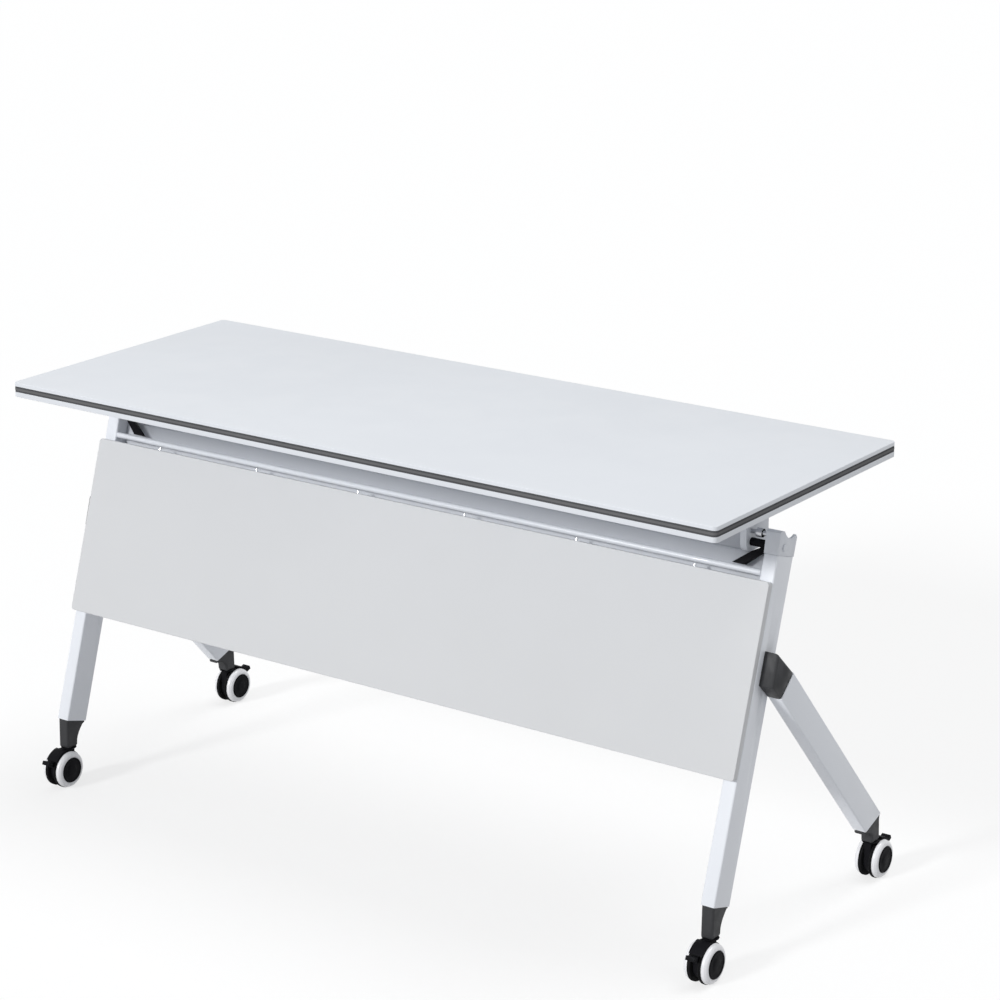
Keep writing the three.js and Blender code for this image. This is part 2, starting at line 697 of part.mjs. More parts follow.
const axleY = -CASTER_TRAIL;
const axleZ = WHEEL_RADIUS;
const hoodInner = WHEEL_RADIUS + HOOD_GAP;
const hoodOuter = hoodInner + HOOD_THICKNESS;
const webTop = 2 * WHEEL_RADIUS;
const knuckle = [axleY - KNUCKLE_BACK, axleZ + KNUCKLE_RISE];
const stemFoot = webTop - STEM_SEAT;

function hoodGeometry() {
  const crown = arc(axleY, axleZ, hoodOuter, HOOD_END, HOOD_START, CURVE_STEPS);
  const webOutline = [
    ...crown,
    [crown.at(-1)[0], webTop],
    [WEB_TAIL, webTop],
    [WEB_TAIL, axleZ + AXLE_BOSS_RADIUS],
    ...arc(axleY, axleZ, AXLE_BOSS_RADIUS, BOSS_START, BOSS_END, 2 * CURVE_STEPS),
    [knuckle[0] + GAP, knuckle[1] - KNUCKLE_RADIUS],
  ];
  const fenderOutline = [...crown, ...arc(axleY, axleZ, hoodInner, HOOD_START, HOOD_END, CURVE_STEPS)];
  const body = joined(
    slab(webOutline, -WEB_WIDTH / 2, WEB_WIDTH / 2),
    slab(fenderOutline, -HOOD_WIDTH / 2, HOOD_WIDTH / 2),
  );
  return cut(
    body,
    bar(AXLE_RADIUS + GAP, -HOOD_WIDTH, HOOD_WIDTH, axleY, axleZ),
    bar(KNUCKLE_RADIUS + GAP, -HOOD_WIDTH, HOOD_WIDTH, ...knuckle),
    post(STEM_RADIUS + GAP, stemFoot - GAP, casterHeight),
  );
}

function stemGeometry() {
  return joined(
    post(STEM_RADIUS, stemFoot, casterHeight + STEM_INSERT),
    post(COLLAR_RADIUS, webTop + COLLAR_CLEARANCE, casterHeight - GAP),
  );
}

function wheelGeometry() {
  const tread = WHEEL_RADIUS / Math.cos(Math.PI / WHEEL_FACETS);
  const bore = AXLE_RADIUS + GAP;
  const boreEnd = AXLE_HALF_LENGTH + GAP;
  return spun([
    [0, boreEnd],
    [bore, boreEnd],
    [bore, WHEEL_INNER_FACE],
    [tread - TYRE_CHAMFER, WHEEL_INNER_FACE],
    [tread, WHEEL_INNER_FACE + TYRE_CHAMFER],
    [tread, TYRE_FACE],
    [HUB_DISC_RADIUS, TYRE_FACE],
    [HUB_DISC_RADIUS, HUB_FACE],
    [0, HUB_FACE - HUB_DISH],
  ], WHEEL_FACETS);
}

function rimGeometry() {
  const inner = HUB_DISC_RADIUS + GAP;
  const seat = TYRE_FACE + GAP;
  const shoulder = seat + RIM_SHOULDER;
  const outer = WHEEL_RADIUS - RIM_DROP;
  const lip = inner + RIM_LIP;
  const crown = arc(0, 0, 1, 0, 90, CORNER_STEPS).map(([across, up]) => [
    lip + (outer - lip) * across,
    shoulder + (RIM_FACE - shoulder) * up,
  ]);
  const profile = [[inner, seat], [outer, seat], ...crown, [inner, RIM_FACE - RIM_LIP], [inner, seat]];
  return spun(profile, WHEEL_FACETS);
}

function pedalGeometry() {
  const tip = [axleY - PEDAL_REACH, axleZ + PEDAL_RISE];
  const run = new THREE.Vector2(tip[0] - knuckle[0], tip[1] - knuckle[1]).normalize();
  const lift = new THREE.Vector2(-run.y, run.x).multiplyScalar(-1);
  const along = (origin, forward, up) => [
    origin[0] + run.x * forward + lift.x * up,
    origin[1] + run.y * forward + lift.y * up,
  ];
  const padOutline = [
    tip,
    along(tip, 0, PEDAL_THICKNESS),
    along(tip, -PEDAL_LENGTH, PEDAL_THICKNESS),
    along(tip, -PEDAL_LENGTH, 0),
  ];
  const stemOutline = [
    along(knuckle, 0, -KNUCKLE_RADIUS / 2),
    along(tip, -PEDAL_LENGTH / 2, 0),
    along(tip, -PEDAL_LENGTH / 2, PEDAL_THICKNESS),
    along(knuckle, 0, KNUCKLE_RADIUS / 2),
  ];
  return joined(
    bar(KNUCKLE_RADIUS, -PEDAL_STEM_WIDTH / 2, PEDAL_STEM_WIDTH / 2, ...knuckle),
    slab(stemOutline, -PEDAL_STEM_WIDTH / 2, PEDAL_STEM_WIDTH / 2),
    slab(padOutline, -PEDAL_WIDTH / 2, PEDAL_WIDTH / 2),
  );
}

function buildCaster(end, { name, sign }) {
  const group = new THREE.Group();
  const facing = end === 'front' ? 1 : -1;
  group.position.set(sign * (facing > 0 ? legX : rearLegX), facing > 0 ? frontSwivelY : rearSwivelY, 0);
  group.rotation.z = facing > 0 ? 0 : Math.PI;
  table.add(group);
  const prefix = `${end}_${name}`;
  addMesh(group, `${prefix}_caster_stem`, stemGeometry(), paint.steel);
  addMesh(group, `${prefix}_caster_hood`, hoodGeometry(), paint.black);
  const axle = bar(AXLE_RADIUS, -AXLE_HALF_LENGTH, AXLE_HALF_LENGTH, axleY, axleZ);
  addMesh(group, `${prefix}_axle`, axle, paint.steel);
  addMesh(group, `${prefix}_brake_pedal`, pedalGeometry(), paint.black);
  for (const place of ['outer', 'inner']) {
    const outward = sign * facing * (place === 'outer' ? 1 : -1);
    const wheelSide = new THREE.Group();
    wheelSide.position.set(0, axleY, axleZ);
    wheelSide.rotation.z = outward > 0 ? 0 : Math.PI;
    group.add(wheelSide);
    addMesh(wheelSide, `${prefix}_wheel_${place}`, wheelGeometry(), paint.tyre);
    addMesh(wheelSide, `${prefix}_rim_${place}`, rimGeometry(), paint.rim);
  }
}

buildTop();
buildCrossPieces();
for (const side of sides) {
  buildFrontLeg(side);
  buildLegHead(side);
  buildFrontPlug(side);
  buildRearLeg(side);
  buildJointCover(side);
  buildRearPlug(side);
  buildFlipArm(side);
  buildLever(side);
  buildLockPin(side);
  buildCaster('front', side);
  buildCaster('rear', side);
}

export default table;
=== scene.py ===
"""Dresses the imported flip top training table: soft edges, wheels, fixings, finishes and a plain studio."""

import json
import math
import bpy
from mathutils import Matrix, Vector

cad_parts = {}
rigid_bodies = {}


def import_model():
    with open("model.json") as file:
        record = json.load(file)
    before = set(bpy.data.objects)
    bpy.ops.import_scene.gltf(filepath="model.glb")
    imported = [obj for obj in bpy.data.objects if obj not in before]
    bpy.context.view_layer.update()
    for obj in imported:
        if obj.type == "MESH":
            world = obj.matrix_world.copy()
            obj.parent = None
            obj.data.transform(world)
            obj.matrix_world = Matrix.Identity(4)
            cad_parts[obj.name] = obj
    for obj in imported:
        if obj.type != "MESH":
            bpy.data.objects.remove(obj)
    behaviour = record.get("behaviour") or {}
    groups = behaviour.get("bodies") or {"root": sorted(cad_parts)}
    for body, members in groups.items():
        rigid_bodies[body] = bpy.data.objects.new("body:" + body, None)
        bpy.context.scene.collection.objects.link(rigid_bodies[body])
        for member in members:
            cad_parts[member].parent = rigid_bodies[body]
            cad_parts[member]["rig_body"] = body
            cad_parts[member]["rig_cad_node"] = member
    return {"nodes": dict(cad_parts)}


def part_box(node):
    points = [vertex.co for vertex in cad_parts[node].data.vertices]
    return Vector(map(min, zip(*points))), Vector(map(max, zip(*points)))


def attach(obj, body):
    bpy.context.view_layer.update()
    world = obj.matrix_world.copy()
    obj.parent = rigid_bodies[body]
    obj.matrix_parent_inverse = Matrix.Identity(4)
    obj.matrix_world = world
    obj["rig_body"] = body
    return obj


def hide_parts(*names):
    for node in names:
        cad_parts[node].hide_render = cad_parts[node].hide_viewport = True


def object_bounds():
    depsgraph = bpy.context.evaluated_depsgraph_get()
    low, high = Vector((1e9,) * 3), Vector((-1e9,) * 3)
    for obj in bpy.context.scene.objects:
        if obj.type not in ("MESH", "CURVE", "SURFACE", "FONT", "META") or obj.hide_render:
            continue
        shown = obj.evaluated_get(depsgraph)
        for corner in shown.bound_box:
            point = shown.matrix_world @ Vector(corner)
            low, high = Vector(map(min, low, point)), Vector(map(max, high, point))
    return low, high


bl_info = {
    "name": "Flip Top Training Table",
    "version": (1, 0, 0),
    "blender": (4, 5, 0),
    "location": "View3D > Sidebar > Table",
    "description": "Models the fine shapes and finishes of a flip top training table",
    "category": "Object",
}

import bmesh
import bpy
from mathutils import Matrix, Vector

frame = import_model()
CAD_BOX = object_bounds()

SIDES = ("right", "left")
CORNERS = ("front_right", "front_left", "rear_right", "rear_left")
PLACES = ("outer", "inner")
MILLIMETRE = 0.001
WHEEL_STEPS = 72
ARM_SCREW_ROWS = (0.10, 0.34, 0.78, 0.95)
ARM_SCREW_SPREAD = 0.36
ARM_FLANGE = 4.8 * MILLIMETRE
TREAD_GROOVE_ROWS = (0.45, 0.68)
KEY_SOFTNESS = 10.0
TOP_SOFTNESS = 30.0
FLOOR_SIZE = 60.0
FLOOR_DROP = 0.5 * MILLIMETRE
SKY_TINT = (0.97, 0.985, 1.0, 1.0)
WHITE = (1.0, 1.0, 1.0, 1.0)


def middle(node):
    low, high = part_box(node)
    return (low + high) / 2


def span(node):
    low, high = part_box(node)
    return high - low


# Values that a user would change


def length(name, description, default):
    return bpy.props.FloatProperty(
        name=name, description=description, default=default, min=0.0, unit="LENGTH", precision=5
    )


def colour(name, description, default):
    return bpy.props.FloatVectorProperty(
        name=name, description=description, default=default, min=0.0, max=1.0, size=3, subtype="COLOR"
    )


def share(name, description, default):
    return bpy.props.FloatProperty(
        name=name, description=description, default=default, min=0.0, max=1.0, subtype="FACTOR"
    )


def angle(name, description, degrees):
    return bpy.props.FloatProperty(
        name=name, description=description, default=math.radians(degrees), subtype="ANGLE"
    )


class TableSizes(bpy.types.PropertyGroup):
    """Edge radii, wheel profile and fixings"""

    board_corner: length("Board corner", "Radius of the top's four corners", 0.008)
    board_rim: length("Board rim", "Rounding of the laminate's rims", 0.0008)
    trim_recess: length("Trim recess", "How far the edge band lies behind the board's face", 0.0003)
    trim_bead: length("Trim bead", "Height of the pale bead along the band", 0.0036)
    panel_corner: length("Panel corner", "Radius of the modesty panel's corners", 0.006)
    panel_rim: length("Panel rim", "Rounding of the panel's edges", 0.0012)
    panel_thickness: length("Panel thickness", "Board thickness of the modesty panel", 0.012)
    tube_edge: length("Tube edge", "Softening of the cut tube ends", 0.0004)
    tube_ring: length("Tube ring", "Height of the bright ring at the tubes' feet", 0.0015)
    casting_edge: length("Casting edge", "Rounding of the cast heads and arms", 0.0016)
    cover_edge: length("Cover edge", "Rounding of the joint covers", 0.0014)
    plug_edge: length("Plug edge", "Rounding of the foot plugs' long edges", 0.004)
    lever_edge: length("Lever edge", "Rounding of the release levers", 0.0018)
    rail_edge: length("Rail edge", "Softening of the panel rail's ends", 0.0006)
    pin_edge: length("Pin edge", "Softening of pins and bolts", 0.0008)
    stem_edge: length("Stem edge", "Softening of the caster stems", 0.0006)
    axle_edge: length("Axle edge", "Softening of the wheel axles", 0.0005)
    hood_edge: length("Hood edge", "Rounding of the caster hoods", 0.0009)
    pedal_edge: length("Pedal edge", "Rounding of the brake pedals", 0.003)
    tread_groove: length("Tread groove", "Depth of the grooves round the tyres", 0.0005)
    screw_radius: length("Screw radius", "Head radius of the arm screws", 0.0045)
    screw_height: length("Screw height", "Head height of the arm screws", 0.0024)
    stud_radius: length("Stud radius", "Radius of the bright studs on the panel's top edge", 0.0023)
    stud_height: length("Stud height", "Height of the bright studs on the panel's top edge", 0.0058)
    stud_spacing: length("Stud spacing", "Distance between the studs along the panel", 0.2184)
    panel_lean: angle("Panel lean", "Rake of the front legs and the panel", 17.5)


class TableColours(bpy.types.PropertyGroup):
    """Base colours of the finishes"""

    laminate: colour("Laminate", "White laminate of the top", (0.735, 0.76, 0.80))
    panel: colour("Panel", "Pale grey laminate of the modesty panel", (0.66, 0.668, 0.68))
    band: colour("Edge band", "Dark band round the board", (0.098, 0.100, 0.105))
    bead: colour("Band bead", "Pale line along the band", (0.155, 0.156, 0.160))
    coat: colour("Coat", "Powder coat of the tubes", (0.81, 0.835, 0.88))
    # The beam's colour is the tubes' coat darkened: painted shade for the shade under the top.
    beam: colour("Beam", "Duller coat of the beam under the top", (0.66, 0.68, 0.72))
    casting: colour("Casting", "Coat of the cast heads and arms", (0.74, 0.765, 0.81))
    cover: colour("Cover", "Dark grey plastic of the plugs and covers", (0.044, 0.045, 0.048))
    black: colour("Black", "Black plastic of the levers, hoods and pedals", (0.011, 0.011, 0.013))
    rim: colour("Rim", "Pale plastic of the wheel rims", (0.88, 0.88, 0.90))
    tyre: colour("Tyre", "Dark tread of the wheels", (0.016, 0.016, 0.017))
    steel: colour("Steel", "Plated steel of pins, bolts and screws", (0.56, 0.57, 0.60))
    bright: colour("Bright", "Bright plated studs and cut tube ends", (0.90, 0.91, 0.93))
    floor: colour("Floor", "Pale studio floor, as it lights the table", (0.60, 0.60, 0.61))


class TableStage(bpy.types.PropertyGroup):
    """Camera and lamps"""

    target: bpy.props.FloatVectorProperty(
        name="Target",
        description="Point that the camera looks at",
        default=(0.0486, 0.0867, 0.5776),
        subtype="TRANSLATION",
    )
    azimuth: angle("Azimuth", "Camera's turn from the front", 35.3)
    elevation: angle("Elevation", "Camera's height angle", 17.3)
    distance: length("Distance", "Camera's distance from its target", 4.9274)
    lens: bpy.props.FloatProperty(
        name="Lens", description="Focal length", default=105.39, unit="CAMERA"
    )
    key_height: angle("Key height", "Height angle of the front lamp", 24.0)
    key_turn: angle("Key turn", "Front lamp's turn from the front", -15.0)
    key_share: share("Key share", "Light from the front lamp, where 1 shows a colour as written", 0.60)
    top_height: angle("Top height", "Height angle of the upper lamp", 72.0)
    top_turn: angle("Top turn", "Upper lamp's turn from the front", 140.0)
    top_share: share("Top share", "Light from the upper lamp, where 1 shows a colour as written", 0.35)
    sky: share("Sky", "Strength of the even light all round", 0.42)
    floor_glow: share("Floor glow", "How white the floor looks, with its shadow in the rest", 0.72)


# Selecting and shaping


def pick(piece):
    bpy.ops.object.select_all(action="DESELECT")
    piece.select_set(True)
    bpy.context.view_layer.objects.active = piece


def enter(piece):
    pick(piece)
    bpy.ops.object.mode_set(mode="EDIT")


def leave():
    bpy.ops.object.mode_set(mode="OBJECT")


def choose(piece, kind, test):
    """Selects the vertices, edges or faces that pass a test, in edit mode."""
    bpy.ops.mesh.select_mode(type=kind)
    bpy.ops.mesh.select_all(action="DESELECT")
    mesh = bmesh.from_edit_mesh(piece.data)
    elements = {"VERT": mesh.verts, "EDGE": mesh.edges, "FACE": mesh.faces}[kind]
    for element in elements:
        element.select_set(bool(test(element)))
    mesh.select_flush_mode()
    bmesh.update_edit_mesh(piece.data)


def edge_way(edge):
    return (edge.verts[1].co - edge.verts[0].co).normalized()


def settle_place(piece):
    pick(piece)
    bpy.ops.object.transform_apply(location=True, rotation=True, scale=True)


def smooth(piece, degrees=35.0):
    pick(piece)
    bpy.ops.object.shade_smooth_by_angle(angle=math.radians(degrees))


def block(name, size, place):
    """A cube of a given size, kept at the origin with its size in its mesh."""
    bpy.ops.object.select_all(action="DESELECT")
    bpy.ops.mesh.primitive_cube_add(size=1.0, location=place)
    piece = bpy.context.object
    piece.name = name
    piece.scale = size
    pick(piece)
    bpy.ops.object.transform_apply(location=False, rotation=False, scale=True)
    return piece


def round_edges(piece, test, radius, segments):
    enter(piece)
    choose(piece, "EDGE", test)
    bpy.ops.mesh.bevel(offset=radius, offset_type="OFFSET", segments=segments, affect="EDGES")
    leave()


def fine_copy(node, radius, segments=3, clamp=True, degrees=35.0):
    """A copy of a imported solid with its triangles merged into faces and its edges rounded."""
    pick(frame["nodes"][node])
    bpy.ops.object.duplicate()
    piece = bpy.context.object
    piece.name = f"{node}_fine"
    piece.parent = None
    piece.matrix_world = Matrix.Identity(4)
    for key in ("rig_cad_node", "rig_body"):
        del piece[key]
    enter(piece)
    bpy.ops.mesh.select_all(action="SELECT")
    bpy.ops.mesh.remove_doubles(threshold=0.02 * MILLIMETRE)
    bpy.ops.mesh.dissolve_limited(angle_limit=math.radians(1.0))
    leave()
    if radius > 0:
        bevel = piece.modifiers.new("soft_edges", "BEVEL")
        bevel.width = radius
        bevel.segments = segments
        bevel.limit_method = "ANGLE"
        bevel.angle_limit = math.radians(degrees)
        bevel.use_clamp_overlap = clamp
        bpy.ops.object.modifier_apply(modifier=bevel.name)
    smooth(piece, degrees)
    return piece


def spun(name, profile, steps, closed):
    """A profile of radius and station pairs in metres, spun about X."""
    bpy.ops.object.select_all(action="DESELECT")
    bpy.ops.mesh.primitive_circle_add(vertices=len(profile), fill_type="NOTHING")
    piece = bpy.context.object
    piece.name = name
    for vertex, (radius, station) in zip(piece.data.vertices, profile):
        vertex.co = (station, 0.0, radius)
    enter(piece)
    if not closed:
        ends = {0, len(profile) - 1}
        choose(piece, "EDGE", lambda e: {v.index for v in e.verts} == ends)
        bpy.ops.mesh.delete(type="EDGE")
    bpy.ops.mesh.select_all(action="SELECT")
    bpy.ops.mesh.spin(steps=steps, angle=math.tau, center=(0, 0, 0), axis=(1, 0, 0))
    bpy.ops.mesh.select_all(action="SELECT")
    bpy.ops.mesh.remove_doubles(threshold=0.01 * MILLIMETRE)
    bpy.ops.mesh.normals_make_consistent(inside=False)
    leave()
    smooth(piece)
    return piece


def copy_to(piece, name, turn, place):
    """A copy with its own mesh, turned and placed, with the place in the mesh."""
    pick(piece)
    bpy.ops.object.duplicate()
    copy = bpy.context.object
    copy.name = name
    copy.matrix_world = Matrix.Translation(place) @ turn
    settle_place(copy)
    return copy


def discard(piece):
    bpy.data.objects.remove(piece, do_unlink=True)


def dress(piece, material, nodes=(), body=None):
    """Gives a piece its finish and its body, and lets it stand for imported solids."""
    piece.data.materials.clear()
    piece.data.materials.append(material)
    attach(piece, body or frame["nodes"][nodes[0]]["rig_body"])
    if nodes:
        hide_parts(*nodes)
    return piece


# Shader effects that several finishes share


def group_tree(name, inputs, outputs):
    tree = bpy.data.node_groups.new(name, "ShaderNodeTree")
    for label, kind, value in inputs:
        socket = tree.interface.new_socket(name=label, in_out="INPUT", socket_type=kind)
        socket.default_value = value
    for label, kind in outputs:
        tree.interface.new_socket(name=label, in_out="OUTPUT", socket_type=kind)
    entry = tree.nodes.new("NodeGroupInput")
    leaving = tree.nodes.new("NodeGroupOutput")
    return tree, entry, leaving


def noise(tree, vector, scale, detail, roughness=0.5):
    node = tree.nodes.new("ShaderNodeTexNoise")
    node.inputs["Detail"].default_value = detail
    node.inputs["Roughness"].default_value = roughness
    tree.links.new(vector, node.inputs["Vector"])
    if isinstance(scale, (int, float)):
        node.inputs["Scale"].default_value = scale
    else:
        tree.links.new(scale, node.inputs["Scale"])
    return node.outputs["Fac"]


def object_place(tree):
    return tree.nodes.new("ShaderNodeTexCoord").outputs["Object"]


def ramped(tree, value, low, high):
    """Maps a noise's middle range to 0 and 1."""
    node = tree.nodes.new("ShaderNodeMapRange")
    node.interpolation_type = "SMOOTHSTEP"
    node.inputs["From Min"].default_value = low
    node.inputs["From Max"].default_value = high
    tree.links.new(value, node.inputs["Value"])
    return node.outputs["Result"]


def maths(tree, operation, first, second):
    node = tree.nodes.new("ShaderNodeMath")
    node.operation = operation
    for index, value in enumerate((first, second)):
        if isinstance(value, (int, float)):
            node.inputs[index].default_value = value
        else:
            tree.links.new(value, node.inputs[index])
    return node.outputs["Value"]


def mixed(tree, factor, first, second):
    node = tree.nodes.new("ShaderNodeMix")
    node.data_type = "RGBA"
    tree.links.new(factor, node.inputs["Factor"])
    for label, value in (("A", first), ("B", second)):
        if isinstance(value, tuple):
            node.inputs[label].default_value = value
        else:
            tree.links.new(value, node.inputs[label])
    return node.outputs["Result"]


def tone_drift_group():
    """A slow change between two near colours, with fine flecks."""
    tree, entry, leaving = group_tree(
        "tone_drift",
        [
            ("Light", "NodeSocketColor", (0.8, 0.8, 0.8, 1.0)),
            ("Dark", "NodeSocketColor", (0.7, 0.7, 0.7, 1.0)),
            ("Cloud Scale", "NodeSocketFloat", 3.0),
            ("Fleck Scale", "NodeSocketFloat", 900.0),
            ("Fleck", "NodeSocketFloat", 0.25),
        ],
        [("Color", "NodeSocketColor")],
    )
    place = object_place(tree)
    cloud = ramped(tree, noise(tree, place, entry.outputs["Cloud Scale"], 3.0), 0.3, 0.7)
    fleck = ramped(tree, noise(tree, place, entry.outputs["Fleck Scale"], 1.0), 0.35, 0.75)
    weighed = maths(tree, "MULTIPLY", fleck, entry.outputs["Fleck"])
    slow = maths(tree, "MULTIPLY", cloud, maths(tree, "SUBTRACT", 1.0, entry.outputs["Fleck"]))
    amount = maths(tree, "ADD", slow, weighed)
    result = mixed(tree, amount, entry.outputs["Light"], entry.outputs["Dark"])
    tree.links.new(result, leaving.inputs["Color"])
    return tree


def gloss_drift_group():
    """Roughness that wanders a little, as on a handled surface."""
    tree, entry, leaving = group_tree(
        "gloss_drift",
        [
            ("Low", "NodeSocketFloat", 0.35),
            ("High", "NodeSocketFloat", 0.5),
            ("Scale", "NodeSocketFloat", 14.0),
        ],
        [("Roughness", "NodeSocketFloat")],
    )
    place = object_place(tree)
    patch = ramped(tree, noise(tree, place, entry.outputs["Scale"], 4.0, 0.6), 0.32, 0.68)
    reach = maths(tree, "SUBTRACT", entry.outputs["High"], entry.outputs["Low"])
    value = maths(tree, "ADD", entry.outputs["Low"], maths(tree, "MULTIPLY", patch, reach))
    tree.links.new(value, leaving.inputs["Roughness"])
    return tree


def grain_height_group():
    """Two sizes of fine relief: orange peel of a coat, or the grain of moulded plastic."""
    tree, entry, leaving = group_tree(
        "grain_height",
        [("Peel Scale", "NodeSocketFloat", 260.0), ("Grain Scale", "NodeSocketFloat", 1400.0)],
        [("Height", "NodeSocketFloat")],
    )
    place = object_place(tree)
    peel = noise(tree, place, entry.outputs["Peel Scale"], 1.0)
    grain = noise(tree, place, entry.outputs["Grain Scale"], 2.0)
    height = maths(tree, "ADD", maths(tree, "MULTIPLY", peel, 0.6), maths(tree, "MULTIPLY", grain, 0.4))
    tree.links.new(height, leaving.inputs["Height"])
    return tree


SHARED = {}


def shared_group(name):
    """The named shader effect, built once."""
    makers = {
        "tone_drift": tone_drift_group,
        "gloss_drift": gloss_drift_group,
        "grain_height": grain_height_group,
    }
    if name not in SHARED:
        SHARED[name] = makers[name]()
    return SHARED[name]


def place_group(tree, name, **values):
    node = tree.nodes.new("ShaderNodeGroup")
    node.node_tree = shared_group(name)
    for label, value in values.items():
        node.inputs[label.replace("_", " ")].default_value = value
    return node


def shade(base, factor):
    return tuple(channel * factor for channel in base) + (1.0,)


def surface(
    name, base, drift, cloud, fleck, gloss, peel, grain, relief, metallic=0.0, coat=0.0, shine=0.5
):
    """A finish made from the shared effects: drifting tone, wandering gloss and fine relief."""
    material = bpy.data.materials.new(name)
    material.use_nodes = True
    tree = material.node_tree
    shader = tree.nodes["Principled BSDF"]
    shader.inputs["Metallic"].default_value = metallic
    shader.inputs["Coat Weight"].default_value = coat
    shader.inputs["Specular IOR Level"].default_value = shine
    tone = place_group(
        tree,
        "tone_drift",
        Light=shade(base, 1.0),
        Dark=shade(base, drift),
        Cloud_Scale=cloud,
        Fleck_Scale=grain,
        Fleck=fleck,
    )
    tree.links.new(tone.outputs["Color"], shader.inputs["Base Color"])
    sheen = place_group(tree, "gloss_drift", Low=gloss[0], High=gloss[1], Scale=4.0 * cloud)
    tree.links.new(sheen.outputs["Roughness"], shader.inputs["Roughness"])
    height = place_group(tree, "grain_height", Peel_Scale=peel, Grain_Scale=grain)
    bump = tree.nodes.new("ShaderNodeBump")
    bump.inputs["Strength"].default_value = relief
    bump.inputs["Distance"].default_value = 0.1 * MILLIMETRE
    tree.links.new(height.outputs["Height"], bump.inputs["Height"])
    tree.links.new(bump.outputs["Normal"], shader.inputs["Normal"])
    return material


def white_laminate(c):
    return surface(
        "white_laminate",
        c.laminate,
        drift=0.965,
        cloud=2.2,
        fleck=0.35,
        gloss=(0.34, 0.44),
        peel=420.0,
        grain=1500.0,
        relief=0.25,
    )


def panel_laminate(c):
    return surface(
        "panel_laminate",
        c.panel,
        drift=0.98,
        cloud=2.6,
        fleck=0.35,
        gloss=(0.58, 0.66),
        peel=420.0,
        grain=1500.0,
        relief=0.25,
        shine=0.12,
    )


def dark_band(c):
    return surface(
        "dark_band",
        c.band,
        drift=0.80,
        cloud=9.0,
        fleck=0.40,
        gloss=(0.42, 0.56),
        peel=300.0,
        grain=1300.0,
        relief=0.30,
        shine=0.02,
    )


def pale_bead(c):
    return surface(
        "pale_bead",
        c.bead,
        drift=0.85,
        cloud=9.0,
        fleck=0.40,
        gloss=(0.36, 0.46),
        peel=300.0,
        grain=1300.0,
        relief=0.20,
        shine=0.02,
    )


def powder_coat(c):
    return surface(
        "powder_coat",
        c.coat,
        drift=0.955,
        cloud=4.0,
        fleck=0.45,
        gloss=(0.30, 0.40),
        peel=520.0,
        grain=1800.0,
        relief=0.40,
        coat=0.15,
    )


# The beam's darker base colour is painted shade for the shade under the top; its dullness is real roughness.
def beam_painted_shade(c):
    return surface(
        "beam_painted_shade",
        c.beam,
        drift=0.955,
        cloud=4.0,
        fleck=0.45,
        gloss=(0.52, 0.62),
        peel=520.0,
        grain=1800.0,
        relief=0.20,
        shine=0.05,
    )


def cast_coat(c):
    return surface(
        "cast_coat",
        c.casting,
        drift=0.93,
        cloud=7.0,
        fleck=0.45,
        gloss=(0.36, 0.50),
        peel=340.0,
        grain=1200.0,
        relief=0.70,
    )


def cover_plastic(c):
    return surface(
        "cover_plastic",
        c.cover,
        drift=0.72,
        cloud=16.0,
        fleck=0.50,
        gloss=(0.46, 0.60),
        peel=700.0,
        grain=2200.0,
        relief=0.60,
        shine=0.22,
    )


def black_plastic(c):
    return surface(
        "black_plastic",
        c.black,
        drift=0.70,
        cloud=18.0,
        fleck=0.45,
        gloss=(0.36, 0.52),
        peel=700.0,
        grain=2200.0,
        relief=0.45,
        shine=0.03,
    )


def rim_plastic(c):
    return surface(
        "rim_plastic",
        c.rim,
        drift=0.93,
        cloud=20.0,
        fleck=0.35,
        gloss=(0.24, 0.36),
        peel=500.0,
        grain=1700.0,
        relief=0.20,
        coat=0.3,
    )


def tyre_rubber(c):
    return surface(
        "tyre_rubber",
        c.tyre,
        drift=0.62,
        cloud=26.0,
        fleck=0.55,
        gloss=(0.62, 0.80),
        peel=600.0,
        grain=1900.0,
        relief=0.80,
        shine=0.04,
    )


def plated_steel(c):
    return surface(
        "plated_steel",
        c.steel,
        drift=0.86,
        cloud=30.0,
        fleck=0.40,
        gloss=(0.26, 0.40),
        peel=500.0,
        grain=1600.0,
        relief=0.30,
        metallic=1.0,
    )


def bright_steel(c):
    return surface(
        "bright_steel",
        c.bright,
        drift=0.94,
        cloud=30.0,
        fleck=0.40,
        gloss=(0.16, 0.26),
        peel=500.0,
        grain=1600.0,
        relief=0.15,
        metallic=1.0,
    )


FINISHES = {}


def finish(name):
    """The named finish, made once from the scene's colours."""
    makers = (
        white_laminate,
        panel_laminate,
        dark_band,
        pale_bead,
        powder_coat,
        beam_painted_shade,
        cast_coat,
        cover_plastic,
        black_plastic,
        rim_plastic,
        tyre_rubber,
        plated_steel,
        bright_steel,
    )
    if name not in FINISHES:
        maker = {m.__name__: m for m in makers}[name]
        FINISHES[name] = maker(bpy.context.scene.table_colours)
    return FINISHES[name]


# Table top


def is_upright(edge):
    return abs(edge_way(edge).z) > 0.99


def at_height(element, height):
    return all(abs(v.co.z - height) < 0.01 * MILLIMETRE for v in element.verts)


def rounded_board(name, size, place, corner, segments=10):
    board = block(name, size, place)
    round_edges(board, is_upright, corner, segments)
    return board


def cut_levels(piece, heights):
    enter(piece)
    for height in heights:
        bpy.ops.mesh.select_all(action="SELECT")
        bpy.ops.mesh.bisect(plane_co=(0, 0, height), plane_no=(0, 0, 1))
    leave()


